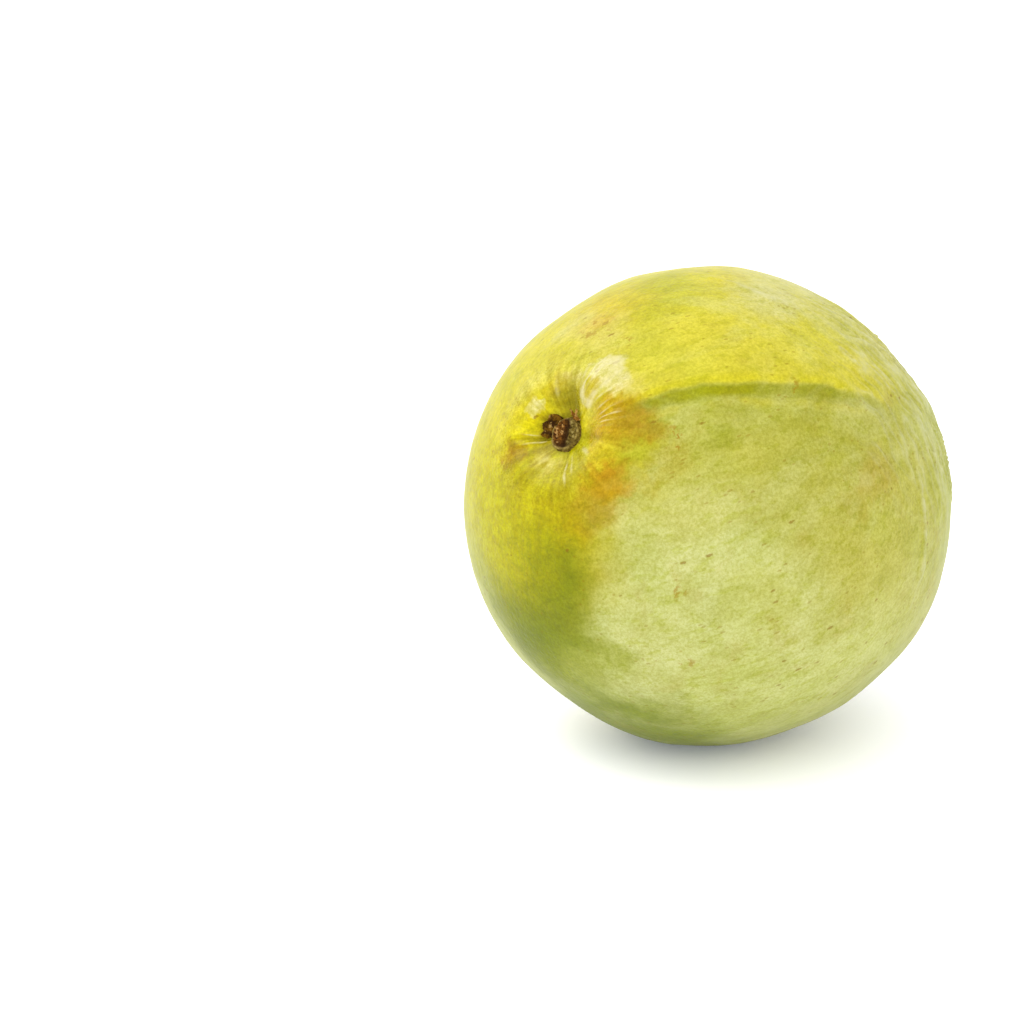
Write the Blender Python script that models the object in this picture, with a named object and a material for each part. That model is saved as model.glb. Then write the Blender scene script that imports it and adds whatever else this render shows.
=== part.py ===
"""A whole guava lying on its side, stem end forward and raised, on a small flat spot under its belly.

The fruit is one grown solid. The broken woody stem stub and two bract scales stand in its stem dimple.
Five dry sepals, a ring of withered stamens and the style stand on the calyx at its blossom end.

Every point of the fruit's skin has a polar angle, counted from the stem, and a turn about the
fruit's axis, counted from its upper side towards +X. Lengths are metres, +Z is up, the stem end
looks along -Y, and the origin is the middle of the flat spot that the fruit rests on.
"""

from math import atan2, cos, exp, pi, radians, sin, sqrt

import bmesh
import bpy
from mathutils import Matrix, Vector

# Driving dimensions of the fruit.
BELLY_RADIUS = 0.0430
STEM_REACH = 0.0432
BLOSSOM_REACH = 0.0455
STEM_LIFT = radians(31)
REST_SPOT_RADIUS = 0.0080

# The dimple that holds the stem stub, and its level floor.
DIMPLE_RADIUS = 0.0078
DIMPLE_DEPTH = 0.0038
DIMPLE_FLOOR = 0.0395
# Turns of the folds that run out of the dimple, with the share of the full fold depth that each has.
STEM_FOLDS = (
    (radians(-10), 1.0),
    (radians(56), 0.8),
    (radians(140), 0.7),
    (radians(188), 0.5),
    (radians(238), 0.9),
)
FOLD_DEPTH = 0.0006
FOLD_WIDTH = 0.0016
FOLD_REACH = 0.0085
FOLD_LENGTH = 0.0055

# The long low rib that runs from the stem end over the upper side.
RIB_TURN = radians(50)
RIB_START = radians(20)
RIB_END = radians(82)
RIB_FADE = radians(14)
RIB_HEIGHT = 0.0007
RIB_WIDTH = 0.0075

# Swellings and hollows of the belly: polar angle, turn, width, height.
SWELLINGS = (
    (radians(53), radians(-48), radians(12), -0.0007),
    (radians(66), radians(-20), radians(8), -0.0006),
    (radians(93), radians(9), radians(11), -0.0005),
    (radians(109), radians(29), radians(8), -0.0004),
    (radians(119), radians(45), radians(11), 0.0005),
    (radians(131), radians(97), radians(12), 0.0005),
    (radians(130), radians(122), radians(9), -0.0006),
    (radians(120), radians(147), radians(10), -0.0007),
    (radians(97), radians(178), radians(9), 0.0004),
    (radians(84), radians(-168), radians(12), -0.0006),
    (radians(96), radians(-70), radians(20), 0.0006),
    (radians(120), radians(-118), radians(15), -0.0006),
)

# The calyx: a shallow basin, a raised lip and a bowl with a level floor.
BASIN_RADIUS = 0.0120
BASIN_DEPTH = 0.0012
LIP_RADIUS = 0.0080
LIP_WIDTH = 0.0017
LIP_HEIGHT = 0.0016
BOWL_RADIUS = 0.0070
BOWL_WALL = 0.0014
BOWL_DEPTH = 0.0052
BOWL_FLOOR = 0.0393

# What stands in the dimple and on the calyx. Pieces that touch keep this gap.
GAP = 0.0003
STUB_BASE_RADIUS = 0.0030
STUB_TOP_RADIUS = 0.0029
STUB_HEIGHT = 0.0011
STUB_RIM = 0.0005
STUB_HOLLOW = 0.0004
# Each bract's turn, distance from the axis, length and width.
BRACTS = (
    ("bract_left", radians(-90), 0.0042, 0.0020, 0.0024),
    ("bract_upper", radians(-13), 0.0039, 0.0019, 0.0019),
)
BRACT_THICKNESS = 0.0005
SEPAL_COUNT = 5
SEPAL_WIDTH = 0.0066
SEPAL_LENGTHS = (0.0068, 0.0058, 0.0072, 0.0062, 0.0055)
SEPAL_LEANS = (radians(34), radians(8), radians(46), radians(-12), radians(22))
SEPAL_THICKNESS = 0.0007
STAMEN_OUTER_RADIUS = 0.0042
STAMEN_INNER_RADIUS = 0.0013
STAMEN_HEIGHT = 0.0056
STYLE_RADIUS = 0.0006
STYLE_HEIGHT = 0.0078

# How finely the round shapes are divided. Rings crowd towards the two ends, where the detail is,
# and the faces around the rest spot are halved so that its rim comes out round.
SEGMENTS = 72
RINGS = 54
RING_CROWDING = 0.34
FINE_RADIUS = 0.0150
SMALL_SEGMENTS = 24

SKIN = ((0.47, 0.50, 0.13), 0.42)
STEM_WOOD = ((0.10, 0.065, 0.04), 0.85)
DRY_SEPAL = ((0.17, 0.08, 0.04), 0.80)
STAMEN = ((0.25, 0.09, 0.045), 0.90)


def smooth_step(value, low, high):
    """0 below low, 1 above high, and a smooth rise between them."""
    share = min(1.0, max(0.0, (value - low) / (high - low)))
    return share * share * (3 - 2 * share)


def bell(distance, width):
    return exp(-((distance / width) ** 2))


def between(first, second):
    """The angle between two turns, from -180 to 180 degrees."""
    return (first - second + pi) % (2 * pi) - pi


def direction(polar, turn):
    """Unit vector in the fruit's own frame, whose +Z is the stem and whose +Y is the upper side."""
    return Vector((sin(polar) * sin(turn), sin(polar) * cos(turn), cos(polar)))


def body_reach(polar):
    """Centre to skin on the plain body: two half ellipsoids that meet at the belly."""
    end = STEM_REACH if polar < pi / 2 else BLOSSOM_REACH
    return 1 / sqrt((sin(polar) / BELLY_RADIUS) ** 2 + (cos(polar) / end) ** 2)


def swelling_height(polar, turn):
    here = direction(polar, turn)
    return sum(
        height * bell(here.angle(direction(at_polar, at_turn)), width)
        for at_polar, at_turn, width, height in SWELLINGS
    )


def rib_height(polar, turn):
    across = between(turn, RIB_TURN) * sin(polar) * BELLY_RADIUS
    along = smooth_step(polar, RIB_START - RIB_FADE, RIB_START)
    along *= 1 - smooth_step(polar, RIB_END - RIB_FADE, RIB_END + RIB_FADE)
    return RIB_HEIGHT * along * bell(across, RIB_WIDTH)


def dimple_height(polar, turn):
    """The stem dimple and the folds that run out of it."""
    out = polar * STEM_REACH
    hollow = -DIMPLE_DEPTH * exp(-((out / DIMPLE_RADIUS) ** 4))
    folded = bell(out - FOLD_REACH, FOLD_LENGTH) * FOLD_DEPTH
    for fold_turn, share in STEM_FOLDS:
        across = between(turn, fold_turn) * sin(polar) * STEM_REACH
        hollow -= share * folded * bell(across, FOLD_WIDTH)
    return hollow


def calyx_height(polar):
    out = (pi - polar) * BLOSSOM_REACH
    basin = -BASIN_DEPTH * bell(out, BASIN_RADIUS)
    lip = LIP_HEIGHT * bell(out - LIP_RADIUS, LIP_WIDTH)
    bowl = -BOWL_DEPTH * (1 - smooth_step(out, BOWL_RADIUS - BOWL_WALL, BOWL_RADIUS))
    return basin + lip + bowl


def reach(polar, turn):
    """Centre to skin, with all the relief, and with level floors in the dimple and the bowl."""
    skin = body_reach(polar) + swelling_height(polar, turn) + rib_height(polar, turn)
    if polar < pi / 2:
        skin += dimple_height(polar, turn)
        return max(skin, DIMPLE_FLOOR / cos(polar)) if polar < DIMPLE_RADIUS / STEM_REACH else skin
    skin += calyx_height(polar)
    inside_bowl = pi - polar < BOWL_RADIUS / BLOSSOM_REACH
    return max(skin, BOWL_FLOOR / -cos(polar)) if inside_bowl else skin


def material(name, look):
    colour, roughness = look
    made = bpy.data.materials.new(name)
    made.use_nodes = True
    shader = made.node_tree.nodes["Principled BSDF"]
    shader.inputs["Base Color"].default_value = (*colour, 1)
    shader.inputs["Roughness"].default_value = roughness
    shader.inputs["Metallic"].default_value = 0
    return made


def add_object(name, shape, look, parent=None, matrix=None):
    """A mesh object made from a bmesh, in its parent's frame."""
    mesh = bpy.data.meshes.new(name)
    bmesh.ops.recalc_face_normals(shape, faces=shape.faces)
    shape.to_mesh(mesh)
    shape.free()
    mesh.materials.append(look)
    mesh.shade_smooth()
    mesh.set_sharp_from_angle(angle=radians(50))
    made = bpy.data.objects.new(name, mesh)
    bpy.context.collection.objects.link(made)
    made.parent = parent
    if matrix is not None:
        made.matrix_local = matrix
    return made


def on_skin(place):
    """The point of the skin in the direction of a place in the fruit's own frame."""
    polar = Vector((0, 0, 1)).angle(place)
    turn = atan2(place.x, place.y)
    return direction(polar, turn) * reach(polar, turn)


def shaped_fruit(down):
    """The fruit before it is cut: a sphere's rings, crowded towards both ends, moved out to the skin."""
    shape = bmesh.new()
    bmesh.ops.create_uvsphere(shape, u_segments=SEGMENTS, v_segments=RINGS, radius=1)
    for vert in shape.verts:
        even = Vector((0, 0, 1)).angle(vert.co)
        polar = even - RING_CROWDING * sin(2 * even)
        vert.co = on_skin(direction(polar, atan2(vert.co.x, vert.co.y)))
    bottom = down * BELLY_RADIUS
    near = [edge for edge in shape.edges if (edge.verts[0].co - bottom).length < FINE_RADIUS]
    bmesh.ops.subdivide_edges(shape, edges=near, cuts=1, use_grid_fill=True)
    for vert in shape.verts:
        vert.co = on_skin(vert.co)
    return shape


def cut_rest_spot(shape, down):
    """Cuts the flat spot level, and returns its middle in the fruit's own frame."""
    lowest = max(vert.co.dot(down) for vert in shape.verts)
    level = down * (lowest - REST_SPOT_RADIUS**2 / (2 * BELLY_RADIUS))
    everything = shape.verts[:] + shape.edges[:] + shape.faces[:]
    cut = bmesh.ops.bisect_plane(shape, geom=everything, plane_co=level, plane_no=down, clear_outer=True)
    rim = [item for item in cut["geom_cut"] if isinstance(item, bmesh.types.BMEdge)]
    spot = bmesh.ops.contextual_create(shape, geom=rim)["faces"][0]
    return spot.calc_center_bounds()


def stem_stub_shape():
    """A short woody peg whose broken end is hollowed inside a thin rim of bark."""
    shape = bmesh.new()
    bmesh.ops.create_cone(
        shape,
        cap_ends=True,
        segments=SMALL_SEGMENTS,
        radius1=STUB_BASE_RADIUS,
        radius2=STUB_TOP_RADIUS,
        depth=STUB_HEIGHT,
    )
    bmesh.ops.translate(shape, verts=shape.verts, vec=(0, 0, STUB_HEIGHT / 2))
    top = max(shape.faces, key=lambda face: face.calc_center_median().z)
    bmesh.ops.inset_region(shape, faces=[top], thickness=STUB_RIM)
    bmesh.ops.translate(shape, verts=top.verts, vec=(0, 0, -STUB_HOLLOW))
    return shape


def scale_shape(length, width, lean):
    """A pointed dry scale that grows along +Z from its root and leans out along +Y, one face thick."""
    shape = bmesh.new()
    bmesh.ops.create_grid(shape, x_segments=4, y_segments=6, size=0.5)
    for vert in shape.verts:
        side = vert.co.x * 2
        up = vert.co.y + 0.5
        half_width = width / 2 * (1 - 0.72 * up**2)
        bend = lean * up
        cupped = 0.10 * width * (1 - side**2)
        vert.co = Vector((
            side * half_width,
            length * up * sin(bend) + cupped * cos(bend),
            length * up * cos(bend) - cupped * sin(bend),
        ))
    return shape


def thicken(scale, thickness):
    solid = scale.modifiers.new("Thickness", "SOLIDIFY")
    solid.thickness = thickness
    solid.offset = 0
    solid.use_even_offset = True


def stamen_ring_shape():
    """The withered stamens as one plain ring around the style."""
    shape = bmesh.new()
    corners = (
        (STAMEN_INNER_RADIUS, 0),
        (STAMEN_OUTER_RADIUS, 0),
        (STAMEN_OUTER_RADIUS, STAMEN_HEIGHT * 0.8),
        ((STAMEN_OUTER_RADIUS + STAMEN_INNER_RADIUS) / 2, STAMEN_HEIGHT),
        (STAMEN_INNER_RADIUS, STAMEN_HEIGHT * 0.8),
    )
    profile = [shape.verts.new((radius, 0, height)) for radius, height in corners]
    edges = [shape.edges.new((profile[i - 1], profile[i])) for i in range(len(profile))]
    bmesh.ops.spin(
        shape,
        geom=profile + edges,
        cent=(0, 0, 0),
        axis=(0, 0, 1),
        angle=2 * pi,
        steps=SMALL_SEGMENTS,
        use_merge=True,
    )
    return shape


def style_shape():
    shape = bmesh.new()
    bmesh.ops.create_cone(
        shape,
        cap_ends=True,
        segments=SMALL_SEGMENTS // 2,
        radius1=STYLE_RADIUS,
        radius2=STYLE_RADIUS * 0.7,
        depth=STYLE_HEIGHT,
    )
    bmesh.ops.translate(shape, verts=shape.verts, vec=(0, 0, STYLE_HEIGHT / 2))
    return shape


def standing_at(turn, radius, height, stem_end):
    """Places a piece's +Z along the axis, outwards at either end, and its +Y away from the axis."""
    foot = Vector((radius * sin(turn), radius * cos(turn), height if stem_end else -height))
    away = Vector((sin(turn), cos(turn), 0))
    out = Vector((0, 0, 1 if stem_end else -1))
    side = away.cross(out)
    basis = Matrix((side, away, out)).transposed()
    return Matrix.Translation(foot) @ basis.to_4x4()


def main():
    for old in list(bpy.data.objects):
        bpy.data.objects.remove(old)

    skin = material("guava_skin", SKIN)
    wood = material("stem_wood", STEM_WOOD)
    sepal_brown = material("dry_sepal", DRY_SEPAL)
    stamen_brown = material("stamen", STAMEN)

    # The empty stands at the fruit's centre with its +Z along the axis, towards the stem.
    tilt = Matrix.Rotation(pi / 2 - STEM_LIFT, 4, "X")
    down = tilt.inverted() @ Vector((0, 0, -1))
    fruit_shape = shaped_fruit(down)
    rest_spot = cut_rest_spot(fruit_shape, down)
    axis = bpy.data.objects.new("fruit_axis", None)
    bpy.context.collection.objects.link(axis)
    axis.matrix_world = Matrix.Translation(-(tilt @ rest_spot)) @ tilt
    add_object("fruit", fruit_shape, skin, axis)

    stub_at = standing_at(0, 0, DIMPLE_FLOOR + GAP, stem_end=True)
    add_object("stem_stub", stem_stub_shape(), wood, axis, stub_at)
    for name, turn, spread, length, width in BRACTS:
        foot = standing_at(turn, spread, DIMPLE_FLOOR + GAP, stem_end=True)
        bract = add_object(name, scale_shape(length, width, radians(10)), wood, axis, foot)
        thicken(bract, BRACT_THICKNESS)

    lip_polar = pi - LIP_RADIUS / BLOSSOM_REACH
    for i in range(SEPAL_COUNT):
        turn = 2 * pi * i / SEPAL_COUNT
        lip = direction(lip_polar, turn) * reach(lip_polar, turn)
        foot = standing_at(turn, LIP_RADIUS, GAP - lip.z, stem_end=False)
        sepal_form = scale_shape(SEPAL_LENGTHS[i], SEPAL_WIDTH, SEPAL_LEANS[i])
        sepal = add_object(f"sepal_{i + 1}", sepal_form, sepal_brown, axis, foot)
        thicken(sepal, SEPAL_THICKNESS)

    bowl_at = standing_at(0, 0, BOWL_FLOOR + GAP, stem_end=False)
    add_object("stamen_ring", stamen_ring_shape(), stamen_brown, axis, bowl_at)
    add_object("style", style_shape(), stamen_brown, axis, bowl_at)


main()
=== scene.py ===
# %% [markdown]
# # A whole guava that lies on its side
#
# This lesson makes the looks of one ripe guava: its waxy yellow-green skin, the broken end of its stalk,
# two dry bract scales, and the dry sepals and stamens at its blossom end. The solid shape and the size
# come from a packed CAD model, which stays fixed. Lengths are in metres, except where a note or a name
# says mm, and +Z is up.

import random
from math import cos, pi, radians, sin

import bpy
import numpy as np
from mathutils import Matrix, Vector, noise
from mathutils.bvhtree import BVHTree


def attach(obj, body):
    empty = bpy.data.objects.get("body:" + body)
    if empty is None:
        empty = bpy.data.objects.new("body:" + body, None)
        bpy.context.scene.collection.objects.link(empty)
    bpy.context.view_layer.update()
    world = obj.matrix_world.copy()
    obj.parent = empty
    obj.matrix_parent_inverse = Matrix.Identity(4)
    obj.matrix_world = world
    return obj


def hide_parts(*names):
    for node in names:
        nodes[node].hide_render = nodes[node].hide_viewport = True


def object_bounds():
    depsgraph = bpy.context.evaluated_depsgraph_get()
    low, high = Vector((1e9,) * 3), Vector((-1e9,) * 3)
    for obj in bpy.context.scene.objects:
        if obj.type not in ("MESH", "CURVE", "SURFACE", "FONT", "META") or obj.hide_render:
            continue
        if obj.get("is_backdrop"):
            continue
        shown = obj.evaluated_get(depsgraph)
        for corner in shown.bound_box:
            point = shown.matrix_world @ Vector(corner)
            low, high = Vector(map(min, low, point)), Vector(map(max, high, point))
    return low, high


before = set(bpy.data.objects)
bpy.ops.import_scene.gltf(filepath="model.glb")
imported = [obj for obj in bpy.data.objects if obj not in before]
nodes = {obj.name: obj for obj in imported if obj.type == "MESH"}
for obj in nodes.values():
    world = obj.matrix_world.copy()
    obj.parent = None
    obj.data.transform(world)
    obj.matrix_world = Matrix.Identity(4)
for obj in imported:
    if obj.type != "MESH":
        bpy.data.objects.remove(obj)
cad_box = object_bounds()
print("CAD nodes:", ", ".join(sorted(nodes)))

# %% [markdown]
# ## The fruit's own directions
#
# A guava grows around one axis, and its skin is easiest to describe by it. Typed in as a number the axis
# would go wrong when the model changes. But the stem stub and the style stand exactly on it, so the line
# through their middles is the axis, and the fruit's centre lies halfway between their feet. Every place on
# the skin then has two angles: `polar`, counted from the stem, and `turn`, counted about the axis from the
# upper side towards +X.

# %% Find the axis and the centre
MM = 0.001


def in_mm(values, digits=1):
    return [round(float(value) / MM, digits) for value in values]


def corners_of(node):
    return [vert.co for vert in nodes[node].data.vertices]


def middle(points):
    return sum(points, Vector()) / len(points)


axis = (middle(corners_of("stem_stub")) - middle(corners_of("style"))).normalized()
side = Vector((1, 0, 0))
upper = axis.cross(side)


def foot_of(node, outwards):
    """The point of the axis where a node that stands on it begins."""
    start = middle(corners_of(node))
    return start + outwards * min((corner - start).dot(outwards) for corner in corners_of(node))


centre = (foot_of("stem_stub", axis) + foot_of("style", -axis)) / 2


def facing(polar, turn):
    """The unit vector from the centre towards a place on the skin, from its two angles in degrees."""
    polar, turn = radians(polar), radians(turn)
    return side * sin(polar) * sin(turn) + upper * sin(polar) * cos(turn) + axis * cos(polar)


print("axis:", [round(value, 3) for value in axis])
print("centre in mm:", in_mm(centre))

# %% [markdown]
# ## The camera
#
# The fruit is seen from its stem end, turned 45 degrees to the side and from 18 degrees above. A near
# camera would make its middle bulge, so a long lens looks from far away. It stands exactly in that
# direction and then turns a little, so that the fruit sits right of the middle.

# %% Place the camera
CAMERA_TURN = radians(45.5)
CAMERA_RISE = radians(18)
CAMERA_DISTANCE = 1.5
PICTURE_WIDTH = 0.1832
FRUIT_RIGHT = 0.0344
FRUIT_UP = 0.0016

towards_camera = Vector((
    sin(CAMERA_TURN) * cos(CAMERA_RISE),
    -cos(CAMERA_TURN) * cos(CAMERA_RISE),
    sin(CAMERA_RISE),
))
camera_right = Vector((cos(CAMERA_TURN), sin(CAMERA_TURN), 0))
camera_up = towards_camera.cross(camera_right)

camera = bpy.data.objects.new("camera", bpy.data.cameras.new("camera"))
bpy.context.scene.collection.objects.link(camera)
camera.data.sensor_width = 36
camera.data.lens = camera.data.sensor_width * CAMERA_DISTANCE / PICTURE_WIDTH
camera.data.clip_end = 20
camera.location = centre + towards_camera * CAMERA_DISTANCE
aim = centre - camera_right * FRUIT_RIGHT - camera_up * FRUIT_UP
camera.rotation_euler = (aim - camera.location).to_track_quat("-Z", "Y").to_euler()
bpy.context.scene.camera = camera
print("lens:", round(camera.data.lens), "mm")

# %% [markdown]
# ## Floor and light
#
# The set is white on white, as for a product picture. One lamp would throw a hard shadow, so the light
# comes from a white surround and two large soft boxes. The one high on the left gives the sheen and a
# faint shadow to the right, and the one in front lights the belly. The floor turns plain white outside the
# shadow, and a standard view transform keeps that white clean.

# %% The white surround and the floor
FLOOR_SIZE = 6.0
SURROUND = 1.57

bpy.context.scene.view_settings.view_transform = "Standard"
world = bpy.data.worlds.new("white_surround")
bpy.context.scene.world = world
world.use_nodes = True
background = world.node_tree.nodes["Background"].inputs
background["Color"].default_value = (1, 1, 1, 1)
background["Strength"].default_value = SURROUND

bpy.ops.mesh.primitive_plane_add(size=FLOOR_SIZE)
floor = bpy.context.object
floor.name = "floor"
floor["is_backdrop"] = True
print("floor:", FLOOR_SIZE, "m wide, surround at", SURROUND)


# %% Two soft boxes
def add_soft_box(name, direction, distance, size, power):
    light = bpy.data.lights.new(name, "AREA")
    light.size = size
    light.energy = power
    box = bpy.data.objects.new(name, light)
    box.location = centre + direction.normalized() * distance
    box.rotation_euler = (-direction).to_track_quat("-Z", "Y").to_euler()
    bpy.context.scene.collection.objects.link(box)
    print(name, "stands", distance, "m away")


key_direction = -camera_right * 0.66 + camera_up * 0.74 + towards_camera * 0.16
add_soft_box("key_soft_box", key_direction, distance=1.0, size=0.7, power=5.0)
fill_direction = camera_right * 0.3 + camera_up * 0.12 + towards_camera * 0.95
add_soft_box("fill_soft_box", fill_direction, distance=1.6, size=1.2, power=6)

# %% [markdown]
# ## Shader maths written as plain expressions
#
# A material is worked out by a tree of nodes. Placing them one by one would bury the idea, so a small
# class wraps a socket, and adding, subtracting or multiplying wrapped sockets adds the Math nodes. A Math
# node would turn a colour grey, so vectors and colours go through Vector Math and Mix. Every other node
# comes from the one method `add`.

# %% The class that wraps a socket
class Wire:
    """One output socket of a material's node tree."""

    def __init__(self, tree, socket=None):
        self.tree = tree
        self.socket = socket

    def add(self, kind, settings=(), sockets=(), output=0):
        """Adds a node: settings first, with a ramp's stops among them, then values or links."""
        node = self.tree.nodes.new("ShaderNode" + kind)
        for name, value in dict(settings).items():
            if name == "stops":
                set_stops(node.color_ramp.elements, value)
            else:
                setattr(node, name, value)
        for name, value in dict(sockets).items():
            if isinstance(value, Wire):
                self.tree.links.new(value.socket, node.inputs[name])
            else:
                node.inputs[name].default_value = value
        return Wire(self.tree, node.outputs[output])

    def maths(self, operation, *others, output=0):
        """A Math node, or a Vector Math node where this socket is a vector or a colour."""
        kind = "Math" if self.socket.type == "VALUE" else "VectorMath"
        return self.add(kind, {"operation": operation}, dict(enumerate((self, *others))), output)

    def __add__(self, other):
        return self.maths("ADD", other)

    def __sub__(self, other):
        return self.maths("SUBTRACT", other)

    def __mul__(self, other):
        by_number = not isinstance(other, Wire) or other.socket.type == "VALUE"
        if self.socket.type != "VALUE" and by_number:
            return self.add("VectorMath", {"operation": "SCALE"}, {0: self, "Scale": other})
        return self.maths("MULTIPLY", other)

    def __rsub__(self, number):
        return self.add("Math", {"operation": "SUBTRACT"}, {0: number, 1: self})

    __radd__ = __add__
    __rmul__ = __mul__

    def dot(self, vector):
        return self.maths("DOT_PRODUCT", vector, output="Value")

    def unit(self):
        return self.maths("NORMALIZE")

    def length(self):
        return self.maths("LENGTH", output="Value")

    def smooth(self, low, high):
        """0 at low, 1 at high and a soft rise between; low may be the larger of the two."""
        turned_round = low > high
        limits = {"From Min": min(low, high), "From Max": max(low, high)}
        ends = {"To Min": float(turned_round), "To Max": float(not turned_round)}
        settings = {"interpolation_type": "SMOOTHSTEP"}
        return self.add("MapRange", settings, {"Value": self, **limits, **ends}, output="Result")

    def mix(self, first, second):
        """first where this mask is 0, second where it is 1."""
        return self.add("Mix", {"data_type": "RGBA"}, {0: self, 6: first, 7: second}, output=2)

    def ramp(self, first, last):
        """A colour ramp along this value, from the first colour at 0 to the last at 1."""
        return self.add("ValToRGB", {"stops": ((0, first), (1, last))}, {"Fac": self})


def set_stops(elements, stops):
    for element, (position, colour) in zip(elements, stops, strict=True):
        element.position = position
        element.color = colour


print("a Wire is:", Wire.__doc__)

# %% [markdown]
# Colours are easiest to judge as they look on a screen. The studio is bright: a surface looks nearly twice
# as bright as its own colour, and a waxy one also carries a white veil, the surround's mirror image.
# `paint` takes both off again.

# %% Colours as they look in this light
LIGHT_LEVEL = 1.95
WAX_VEIL = 0.014
DARKEST = 0.0015


def paint(red, green, blue, veil=0.0):
    """A shader's colour from the 0 to 255 values that a screen shows in this light."""
    shares = [value / 255 for value in (red, green, blue)]
    linear = [share / 12.92 if share < 0.04045 else ((share + 0.055) / 1.055) ** 2.4 for share in shares]
    return (*(max(DARKEST, (value - veil) / LIGHT_LEVEL) for value in linear), 1)


def waxy(red, green, blue):
    return paint(red, green, blue, veil=WAX_VEIL)


print("mid grey:", paint(128, 128, 128))

# %% [markdown]
# Each finish starts with a Principled shader and the place of the shaded point. A flat texture would
# stretch where it is wrapped round a ball, so every pattern is read from that place instead. Noise is
# called `grain` here and takes the size of its blobs in mm.

# %% Start a material and add grain
NOISE_CELL = 2  # blobs to one cell of Blender's noise


def start_finish(name, roughness, specular=0.5):
    """A new material, its shader node, and a wire that carries the place of the shaded point."""
    material = bpy.data.materials.new(name)
    material.use_nodes = True
    shader = material.node_tree.nodes["Principled BSDF"]
    shader.inputs["Roughness"].default_value = roughness
    shader.inputs["Specular IOR Level"].default_value = specular
    place = Wire(material.node_tree).add("TexCoord", output="Object")
    return material, shader, place


def feed(shader, name, wire):
    wire.tree.links.new(wire.socket, shader.inputs[name])


def grain(place, size_mm, detail=3, roughness=0.5, output="Fac", **more):
    """Soft noise from about 0.3 to 0.7, whose blobs are size_mm across."""
    scale = 1 / (NOISE_CELL * size_mm * MM)
    sockets = {"Vector": place, "Scale": scale, "Detail": detail, "Roughness": roughness}
    return place.add("TexNoise", sockets={**sockets, **more}, output=output)


def raised(height, distance_mm, **more):
    """A normal that leans as if the surface rose by distance_mm where height is 1."""
    return height.add("Bump", sockets={"Height": height, "Distance": distance_mm * MM, **more})


print("grain of 1 mm has the scale", 1 / (NOISE_CELL * MM))

# %% [markdown]
# The floor is matte white. A stronger lamp would lift its shadow but bleach the fruit, so the floor glows
# a little itself, in a cool white against the yellow light that the fruit throws on it.

# %% Finish the floor
FLOOR_WHITE = 0.9
FLOOR_GLOW = 0.13
GLOW_COLOUR = (0.72, 0.78, 1.0, 1)

floor_finish, shader, place = start_finish("matte_white_floor", roughness=0.9, specular=0.1)
shader.inputs["Base Color"].default_value = (FLOOR_WHITE, FLOOR_WHITE, FLOOR_WHITE, 1)
shader.inputs["Emission Color"].default_value = GLOW_COLOUR
shader.inputs["Emission Strength"].default_value = FLOOR_GLOW
floor.data.materials.append(floor_finish)
print("floor glows at", FLOOR_GLOW)

# %% [markdown]
# ## The skin's grid
#
# The CAD fruit has flat facets of about 4 mm. A subdivision surface would round the shape inwards, so the
# visible skin is a much finer grid, and a ray from the centre to the CAD fruit finds each of its points.
# The distances are then averaged with their neighbours, which melts the facets away and keeps the size.
# The grid's columns crowd on the side with the wrinkles.

# %% Measure the CAD fruit along rays from its centre
COLUMNS = 420
ROWS = 236
ROW_CROWDING = 0.06
COLUMN_CROWDING = 0.45
CROWDED_TURN = radians(40)

fruit_faces = [face.vertices for face in nodes["fruit"].data.polygons]
fruit_tree = BVHTree.FromPolygons(corners_of("fruit"), fruit_faces)
even_rings = np.linspace(0, pi, ROWS + 1)[1:-1]
rings = even_rings - ROW_CROWDING * np.sin(2 * even_rings)
even_columns = np.arange(COLUMNS) * 2 * pi / COLUMNS
columns = CROWDED_TURN + even_columns - COLUMN_CROWDING * np.sin(even_columns)
polar, turn = np.meshgrid(rings, columns, indexing="ij")
polar_degrees = np.degrees(polar)


def distance_along(ray):
    return fruit_tree.ray_cast(centre, Vector(ray))[3]


parts = (
    (side, np.sin(polar) * np.sin(turn)),
    (upper, np.sin(polar) * np.cos(turn)),
    (axis, np.cos(polar)),
)
rays = sum(share[..., None] * np.array(direction) for direction, share in parts)
reach = np.array([[distance_along(ray) for ray in row] for row in rays])
print("skin grid:", reach.shape, "points, reach in mm:", in_mm([reach.min(), reach.max()]))

# %% Melt the facets
SOFTENING_ROUNDS = 14
PASSES_ROUND_ABOUT = 3


def softened(values):
    """Averages each point with its neighbours; the first and last rings keep their values."""
    for _ in range(PASSES_ROUND_ABOUT):
        values = (2 * values + np.roll(values, 1, axis=1) + np.roll(values, -1, axis=1)) / 4
    along = values.copy()
    along[1:-1] = (values[:-2] + 2 * values[1:-1] + values[2:]) / 4
    return along


for _ in range(SOFTENING_ROUNDS):
    reach = softened(reach)
bare_skin = np.array(centre) + rays * reach[..., None]
print("reach after softening, in mm:", in_mm([reach.min(), reach.max()]))

# %% [markdown]
# ## The skin's relief
#
# A guava's skin isn't a smooth ball. A sharp rib runs from the stem over the upper side, folds run out of
# the stem's dimple, one side is wrinkled, and everywhere the skin rises and sinks softly. Sculpting could
# make them, but a formula can be read, measured and changed. Each formula gives a height on the grid,
# which is added to the distance from the centre.

# %% Helpers for relief
def bell(distance, width):
    return np.exp(-((distance / width) ** 2))


def rise(values, low, high):
    """0 below low, 1 above high, and a smooth rise between them."""
    share = np.clip((values - low) / (high - low), 0, 1)
    return share * share * (3 - 2 * share)


def lumps(size_mm, seed, octaves=2):
    """Soft noise from about -1 to 1 over the skin, whose lumps are size_mm across."""
    shift = Vector((seed, 2 * seed, 3 * seed))
    points = bare_skin.reshape(-1, 3) / (size_mm * MM)
    values = [noise.fractal(Vector(point) + shift, 1.0, 2.0, octaves) for point in points]
    return np.array(values).reshape(reach.shape)


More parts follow.
